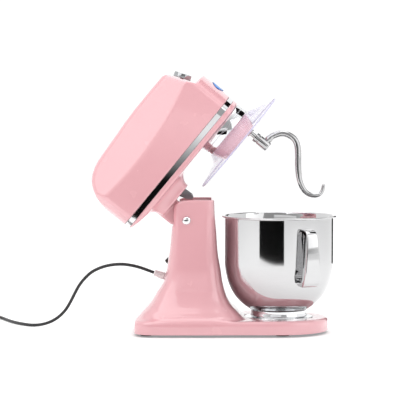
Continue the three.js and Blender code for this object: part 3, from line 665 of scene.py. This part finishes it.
def lower_distance():
    plan = outline_distance(head_plan(0.6))
    tongue_side = outline_distance(TONGUE)

    def distance(u, y, v):
        x0, x1 = smooth_table(NECK, v, 1), smooth_table(NECK, v, 2)
        half, power = smooth_table(NECK, v, 3), smooth_table(NECK, v, 4)
        a = np.abs((u - (x0 + x1) / 2) / ((x1 - x0) / 2)) + 1e-9
        b = np.abs(y / half) + 1e-9
        neck = ((a ** power + b ** power) ** (1 / power) - 1) * np.minimum((x1 - x0) / 2, half)
        neck = soft_max(neck, 39.6 - v, 2.0)
        floor = np.where(u < -36, 64 + (-36 - u) * 0.16, 64.0)
        tray = soft_max(plan(u, y), floor - v, 5.0)
        tongue = soft_max(tongue_side(u, v), np.abs(y) - 41, 2.0)
        body = soft_min(soft_min(tray, neck, 7.0), tongue, 2.5)
        return soft_max(body, v - 90, 2.0)
    return distance


def make_lower_shell():
    step = 2.4
    vertices, faces = surface_net(lower_distance(), (-90, -84, -20), (238, 84, 98), step)
    vertices, faces = cut_open(vertices, faces, SPLIT_V, False)
    shell = piece("lower_shell", vertices, faces, HEAD, PINK, "head", ("head_lower_shell",))
    thicken(shell, 2.0)


def make_badge():
    """Plain oval disc that follows the nose."""
    rings, count = [], 64
    for scale, lift in ((1.0, 0.3), (1.0, 1.1), (0.96, 1.5), (0.6, 1.55), (0.0, 1.6)):
        loop = []
        for k in range(count):
            angle = 2 * math.pi * k / count
            y = 34 * scale * math.cos(angle)
            v = 114 + 13.6 * scale * math.sin(angle)
            u = NOSE + (NOSE_DEPTH + lift) * math.sqrt(1 - (y / (70 + lift)) ** 2)
            loop.append((u, y, v))
        rings.append(loop)
    vertices = [p for r in rings for p in r]
    faces = [(i * count + k, i * count + (k + 1) % count, (i + 1) * count + (k + 1) % count, (i + 1) * count + k)
             for i in range(len(rings) - 1) for k in range(count)]
    faces.append(tuple(range(count)))
    sharpen(piece("nose_badge", vertices, faces, HEAD, BLUE, "head", ("badge",)))


DIAL_TILT = math.atan2(20, 51)
DIAL = HEAD @ Matrix.Translation((199, 0, 176.5)) @ Matrix.Rotation(math.pi / 2 - DIAL_TILT, 4, "Y")


def make_knob():
    """Speed dial: a chrome cap with a waist, a dished top and a raised pointer bar."""
    profile = [(0, 3.7), (14, 3.7), (14, 0.7), (16.4, 0.7), (17.2, 1.2), (17.35, 2), (17.35, 3.2), (16.9, 3.6),
               (16.9, 8.6), (16.5, 9.8), (15.4, 10.4), (14.2, 10.3), (13.4, 9.7), (6, 9.4), (0, 9.4)]
    vertices, faces = lathe(profile, 96, loop=False)
    sharpen(piece("dial_cap", vertices, faces, DIAL, DARK_CHROME, "dial", ("speed_knob",)), 30)
    bar, bar_faces = lathe([(0, 9.3), (1.3, 9.3), (1.3, 10.3), (1.0, 10.5), (0, 10.5)], 24, loop=False)
    stretched = [(x * 4.2 + 7.0, y, z) for x, y, z in bar]
    sharpen(piece("dial_pointer", stretched, bar_faces, DIAL, GREY_STEEL, "dial"))


# ---------- mixing head ----------
def head_lathe(name, profile, material, body, node, u=BOWL_OFFSET, count=96, crisp=35):
    vertices, faces = lathe(profile, count, (u, 0.0), loop=profile[0][0] > 1e-6)
    return sharpen(piece(name, vertices, faces, HEAD, material, body, node), crisp)


def make_mixing_head():
    collar = [(20, 62), (20, 63.6), (53.6, 63.6), (54.6, 63.1), (55, 62.2), (55, 54.3), (54.6, 53.9),
              (53.9, 53.6), (53.9, 53.0), (54.6, 52.7), (55, 52.3), (55, 43.2), (54.6, 42.4), (53.8, 42.1),
              (51.6, 42.1), (51.6, 62)]
    head_lathe("chrome_collar", collar, CHROME, "head", ("collar",))
    carrier = [(0, 12.1), (35.5, 12.1), (38, 12.6), (40.5, 14.2), (43, 17.4), (45.2, 22), (47.6, 30), (49.2, 36),
               (50, 41), (50, 43.5), (0, 43.5)]
    head_lathe("planetary_housing", carrier, PINK, "planetary", ("planet_carrier",), crisp=60)
    shaft = [(0, 54.8), (5.9, 54.8), (5.9, 11.6), (7.9, 11.5), (8.2, 10.8), (8.2, 8.8), (5.8, 8.4), (4.5, 8.2),
             (4.5, -31.4), (4.0, -32), (0, -32)]
    head_lathe("output_shaft", shaft[::-1], STEEL, "attachment", ("beater_shaft",),
               SHAFT_OFFSET, 48)


def make_guard():
    """Clear dish below the collar, with a feed chute at the front."""
    inner = [(52.8, 41.6), (53.6, 37.5), (55.8, 33.2), (58.2, 29.8), (61.4, 27.2), (65, 25.4), (70, 24.2),
             (88, 19.9), (107.2, 15.3)]
    outer = [(54.2, 41.6), (55.0, 38.0), (57.1, 34.2), (59.4, 31.2), (62.3, 28.8), (65.6, 27.0), (70.4, 25.8),
             (88.3, 21.5), (107.6, 17.0), (107.95, 16.2)]
    vertices, faces = lathe(inner + outer[::-1], 128, (BOWL_OFFSET, 0.0))
    guard = piece("clear_guard", vertices, faces, HEAD, CLEAR, "head", ("splash_guard",))
    sharpen(guard, 50)

    rim = rounded_profile([(106.9, 14.6), (109.2, 14.6), (109.2, 17.6), (106.9, 17.6)], [0.7] * 4, 3)
    vertices, faces = lathe(rim, 128, (BOWL_OFFSET, 0.0))
    piece("guard_rim", vertices, faces, HEAD, TINTED, "head")

    # The chute is an arched channel that leans from the dish's neck out to its rim.
    rings, count, stations = [], 25, 9
    for skin in (0.0, 1.3):
        for t in np.linspace(0, 1, stations):
            u = BOWL_OFFSET + 56.5 + 34 * t
            top = 41.0 - 17.0 * t - skin
            low = 30.5 - 8.0 * t
            half = 15 + 9 * t - skin
            loop = []
            for k in range(count):
                angle = math.pi * k / (count - 1)
                loop.append((u - 6 * (1 - math.sin(angle)), half * math.cos(angle),
                             low + (top - low) * math.sin(angle) ** 0.7))
            rings.append(loop)
    vertices = [p for r in rings for p in r]
    faces = []
    for first in (0, stations):
        for i in range(first, first + stations - 1):
            for k in range(count - 1):
                faces.append((i * count + k, i * count + k + 1, (i + 1) * count + k + 1, (i + 1) * count + k))
    for i in range(stations - 1):
        for k in (0, count - 1):
            faces.append((i * count + k, (i + 1) * count + k, (i + 1 + stations) * count + k,
                          (i + stations) * count + k))
    for i in (0, stations - 1):
        for k in range(count - 1):
            faces.append((i * count + k, i * count + k + 1, (i + stations) * count + k + 1,
                          (i + stations) * count + k))
    piece("guard_chute", vertices, faces, HEAD, CLEAR, "head")


HOOK_LINE = [
    (0, -24), (17, -24.5), (29, -29.5), (38, -37), (43, -48), (43.5, -61), (38, -73), (25, -86), (11, -97.5),
    (-2, -109.5), (-12, -121.5), (-18.5, -135), (-19.5, -148), (-14, -159.5), (-5, -165.5), (4, -164),
    (14, -158.5),
]


def make_hook():
    """Dough hook: a forged rod that leaves its hub sideways and thins towards a rounded tip."""
    line = spline(HOOK_LINE, 150)
    centres = [(SHAFT_OFFSET + u, 0.0, v) for u, v in line]
    radii = []
    for i in range(len(centres)):
        t = i / (len(centres) - 1)
        r = 5.9 if t < 0.58 else 5.9 - 2.7 * (t - 0.58) / 0.42
        end = (1 - t) * 150
        if end < 3:
            r *= math.sqrt(max(1 - ((3 - end) / 3.2) ** 2, 0.02))
        swell = math.exp(-((t - 0.055) / 0.02) ** 2)
        radii.append(r + 1.2 * swell)
    vertices, faces = sweep(centres, radii, 28)
    piece("hook_rod", vertices, faces, HEAD, HOOK_STEEL, "attachment", ("dough_hook",))
    hub = [(5, -0.6), (9.2, -0.6), (9.7, -1.2), (9.7, -6.6), (9.2, -7.2), (8.6, -7.6), (8.6, -9.6), (9.2, -10),
           (9.7, -10.6), (9.7, -29.6), (9.2, -31.8), (7.4, -33), (5, -33)]
    head_lathe("hook_hub", hub, HOOK_STEEL, "attachment", (), SHAFT_OFFSET, 64)


# ---------- bowl ----------
BOWL_SIDE = [(103.4, 219), (103.4, 134), (103.1, 128), (102.2, 121), (100.7, 112), (98.2, 101), (94.6, 90.5),
             (89.8, 80), (83.6, 70), (76, 61), (66.5, 52.5), (56, 45.4)]


def make_bowl():
    side = [tuple(p) for p in spline(BOWL_SIDE[1:], 46)]
    outer = [(103.4, 218.6), (103.4, 200), (103.4, 180), (103.4, 160)] + side + [(44, 41.6), (30, 39.9), (0, 39.6)]
    inner = [(0, 40.8), (29.8, 41.1), (43.4, 42.8)]
    inner += [(r - 1.2 if z > 60 else r - 0.9, z + (0.9 if z < 100 else 0)) for r, z in side[::-1]]
    inner += [(102.2, 160), (102.2, 180), (102.2, 200), (102.2, 220.4)]
    bead = [(102.8, 221.9), (103.8, 222.8), (105.2, 223), (107.2, 223), (108.3, 222.6), (108.95, 221.6),
            (108.95, 220.4), (108.3, 219.6), (107, 219.3), (104.6, 219.2)]
    profile = (inner + bead + outer)
    vertices, faces = lathe(profile, 160, (BOWL_OFFSET, 0.0), loop=False)
    sharpen(piece("mixing_bowl", vertices, faces, BASE, STEEL, "bowl_assembly", ("bowl",)), 60)
    foot = rounded_profile([(49.5, 38.6), (50.8, 32.2), (53.6, 31.4), (53.9, 34), (52.8, 38), (53.2, 43.1),
                            (52, 42.8), (51.6, 38.4)], [0.6] * 8, 3)
    vertices, faces = lathe(foot, 128, (BOWL_OFFSET, 0.0))
    sharpen(piece("bowl_base_ring", vertices, faces, BASE, CHROME, "bowl_assembly", ("bowl_foot_ring",)))


GRIP_LINE = [(104.2, 201.4), (112, 201.2), (121, 200.2), (128.5, 196.5), (132.4, 189), (134.2, 176),
             (135.3, 155), (135.4, 135), (134.4, 116), (132.2, 105), (127, 98.6), (119, 96.8), (110, 97.6),
             (102.6, 99.4)]
HANDLE_AZIMUTH = math.radians(-64)
GRIP_TOP, GRIP_HEIGHT = 203.2, 109.2
GRIP_HALF_TOP, GRIP_HALF_GAIN = 10.3, 6.5  # half width at the top, and how much wider the bottom is
GRIP_WALL = 10.2  # depth of the folded sides beyond the sheet
SHEET = 1.3


def make_handle():
    """Pressed channel: a strap that widens downwards, with side walls folded in towards the bowl."""
    line = spline(GRIP_LINE, 110)
    vertices, faces = [], []
    for i, (r, z) in enumerate(line):
        a, b = line[max(i - 1, 0)], line[min(i + 1, len(line) - 1)]
        along = Vector((b[0] - a[0], b[1] - a[1])).normalized()
        out = Vector((-along.y, along.x))
        if out.x < 0 and i < 80 or out.y > 0 and i >= 80:
            out = -out
        if i < 24:
            out = Vector((abs(out.x), abs(out.y)))
        t = min(max((GRIP_TOP - z) / GRIP_HEIGHT, 0), 1)
        half = GRIP_HALF_TOP + GRIP_HALF_GAIN * t
        reach = min(i / 26, (len(line) - 1 - i) / 20, 1.0)
        wall = SHEET + GRIP_WALL * reach ** 0.8
        section = [(-1, -wall), (-1, -0.4), (-0.985, 0.2), (-0.93, 0.75), (-0.84, 1.0), (0.84, 1.0), (0.93, 0.75),
                   (0.985, 0.2), (1, -0.4), (1, -wall), (1 - SHEET / half, -wall), (1 - SHEET / half, -0.8),
                   (0.82, -0.3), (-0.82, -0.3), (SHEET / half - 1, -0.8), (SHEET / half - 1, -wall)]
        for across, lift in section:
            vertices.append((r + out.x * lift, across * half, z + out.y * lift))
    count = len(section)
    for i in range(len(line) - 1):
        for k in range(count):
            n = (k + 1) % count
            faces.append((i * count + k, i * count + n, (i + 1) * count + n, (i + 1) * count + k))
    faces.append(tuple(range(count)))
    faces.append(tuple(range((len(line) - 1) * count, len(line) * count))[::-1])
    place = BASE @ Matrix.Translation((BOWL_OFFSET, 0, 0)) @ Matrix.Rotation(HANDLE_AZIMUTH, 4, "Z")
    sharpen(piece("bowl_grip", vertices, faces, place, STEEL, "bowl_assembly", ("bowl_handle",)), 50)


# ---------- small fittings ----------
def make_clamp():
    profile = rounded_profile([(20, 28.4), (65, 28.4), (65, 30.3), (63.6, 30.9), (58.6, 30.9), (57.2, 29.9),
                               (20, 29.9)], [0, 0.3, 0.8, 0.6, 0.6, 0.6, 0.3], 3)
    vertices, faces = lathe(profile, 128, (BOWL_OFFSET, 0.0))
    sharpen(piece("clamp_ring", vertices, faces, BASE, CHROME, "base", ("bowl_clamp_plate",)))


def make_caps():
    dome = [(0, 0), (8, 0), (8, 0.9), (7.8, 1.5), (7.2, 2.3), (6.1, 3.2), (4.6, 4.0), (2.6, 4.5), (0, 4.7)]
    for side, name in ((1, "left"), (-1, "right")):
        vertices, faces = lathe(dome, 48, loop=False)
        place = BASE @ Matrix.Translation((0, side * 57.6, HINGE.z / MM)) @ Matrix.Rotation(
            math.radians(-90 * side), 4, "X")
        sharpen(piece(f"pin_dome_{name}", vertices, faces, place, CHROME, "base", (f"hinge_pin_cap_{name}",)), 60)


def make_feet():
    for end in ("rear", "front"):
        for side in ("left", "right"):
            node = f"rubber_foot_{end}_{side}"
            low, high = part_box(node)
            middle = (Vector(low) + Vector(high)) / 2
            r = (high[0] - low[0]) / 2 / MM
            profile = [(0, 0.6), (r - 5, 0.6), (r - 4.6, 0.05), (r - 2.4, 0.05), (r - 1.2, 0.6), (r - 0.5, 1.6),
                       (r - 0.1, 4.6), (0, 4.6)]
            vertices, faces = lathe(profile, 48, loop=False)
            place = Matrix.Translation((middle.x, middle.y, 0)) @ Matrix.Scale(MM, 4)
            pad = piece(f"foot_pad_{end}_{side}", vertices, faces, place, RUBBER, "base", (node,))
            sharpen(pad)


make_base()
make_upper_shell()
make_trim()
make_lower_shell()
make_badge()
make_knob()
make_mixing_head()
make_guard()
make_hook()
make_bowl()
make_handle()
make_clamp()
make_caps()
make_feet()


# ---------- studio ----------
def area_light(name, place, aim, size, power):
    light = bpy.data.lights.new(name, "AREA")
    light.energy = power
    light.size = size
    thing = bpy.data.objects.new(name, light)
    thing.location = place
    thing.rotation_euler = (Vector(aim) - Vector(place)).to_track_quat("-Z", "Y").to_euler()
    bpy.context.scene.collection.objects.link(thing)


def panel(name, centre, facing, width, height, material):
    """Flat studio card that faces a point; only reflections see it."""
    half_w, half_h = width / 2, height / 2
    mesh = bpy.data.meshes.new(name)
    mesh.from_pydata([(-half_w, -half_h, 0), (half_w, -half_h, 0), (half_w, half_h, 0), (-half_w, half_h, 0)], [],
                     [(0, 1, 2, 3)])
    card = bpy.data.objects.new(name, mesh)
    card.location = centre
    card.rotation_euler = (Vector(facing) - Vector(centre)).to_track_quat("Z", "Y").to_euler()
    card.data.materials.append(material)
    card.visible_camera = False
    card.visible_shadow = False
    card.visible_diffuse = False
    bpy.context.scene.collection.objects.link(card)


def make_world():
    """White behind the object, falling to grey on the camera's side, so that bright metal shows contrast."""
    world = bpy.data.worlds.new("studio")
    world.use_nodes = True
    nodes, links = world.node_tree.nodes, world.node_tree.links
    place = nodes.new("ShaderNodeTexCoord")
    split = nodes.new("ShaderNodeSeparateXYZ")
    ramp = nodes.new("ShaderNodeMapRange")
    ramp.interpolation_type = "SMOOTHSTEP"
    ramp.inputs["From Min"].default_value = -0.95
    ramp.inputs["From Max"].default_value = -0.05
    ramp.inputs["To Min"].default_value = 0.42
    ramp.inputs["To Max"].default_value = 1.12
    links.new(place.outputs["Generated"], split.inputs["Vector"])
    links.new(split.outputs["Y"], ramp.inputs["Value"])
    links.new(ramp.outputs["Result"], nodes["Background"].inputs["Strength"])
    nodes["Background"].inputs["Color"].default_value = (1, 1, 1, 1)
    bpy.context.scene.world = world
    bpy.context.scene.view_settings.view_transform = "Standard"


def make_studio():
    make_world()
    mesh = bpy.data.meshes.new("floor")
    mesh.from_pydata([(-40, -40, 0), (40, -40, 0), (40, 40, 0), (-40, 40, 0)], [], [(0, 1, 2, 3)])
    floor = bpy.data.objects.new("floor", mesh)
    paper, surface = shader("white_paper", (0.80, 0.80, 0.80), 0.6)
    surface.inputs["Specular IOR Level"].default_value = 0.1
    surface.inputs["Emission Color"].default_value = (1, 1, 1, 1)
    surface.inputs["Emission Strength"].default_value = 0.22
    floor.data.materials.append(paper)
    bpy.context.scene.collection.objects.link(floor)

    target = (HINGE.x + 0.05, HINGE.y, 0.25)
    area_light("key", (-1.6, -1.9, 2.4), target, 2.8, 36)
    area_light("fill", (2.2, -1.5, 1.3), target, 2.2, 15)
    area_light("top", (0.1, 0.3, 2.6), target, 2.4, 24)

    flag, surface = shader("black_flag", (0.004, 0.004, 0.004), 1.0)
    surface.inputs["Specular IOR Level"].default_value = 0.0
    fading, surface = shader("fading_flag", (0.004, 0.004, 0.004), 1.0)
    surface.inputs["Specular IOR Level"].default_value = 0.0
    surface.inputs["Emission Color"].default_value = (1, 1, 1, 1)
    nodes, links = fading.node_tree.nodes, fading.node_tree.links
    place = nodes.new("ShaderNodeNewGeometry")
    split = nodes.new("ShaderNodeSeparateXYZ")
    links.new(place.outputs["Position"], split.inputs["Vector"])
    ramp = nodes.new("ShaderNodeMapRange")
    ramp.interpolation_type = "SMOOTHSTEP"
    ramp.inputs["From Min"].default_value = 0.22
    ramp.inputs["From Max"].default_value = 0.52
    ramp.inputs["To Max"].default_value = 1.0
    links.new(split.outputs["Z"], ramp.inputs["Value"])
    links.new(ramp.outputs["Result"], surface.inputs["Emission Strength"])
    panel("flag_front", (-0.325, -1.2, 0.28), (-0.325, 0, 0.28), 1.27, 0.56, fading)
    panel("flag_back", (0.73, 1.26, 0.40), (0.12, 0, 0.40), 0.45, 0.8, flag)
    panel("flag_high", (0.80, 0.42, 1.15), (0.05, 0, 0.42), 0.7, 0.7, flag)


make_studio()
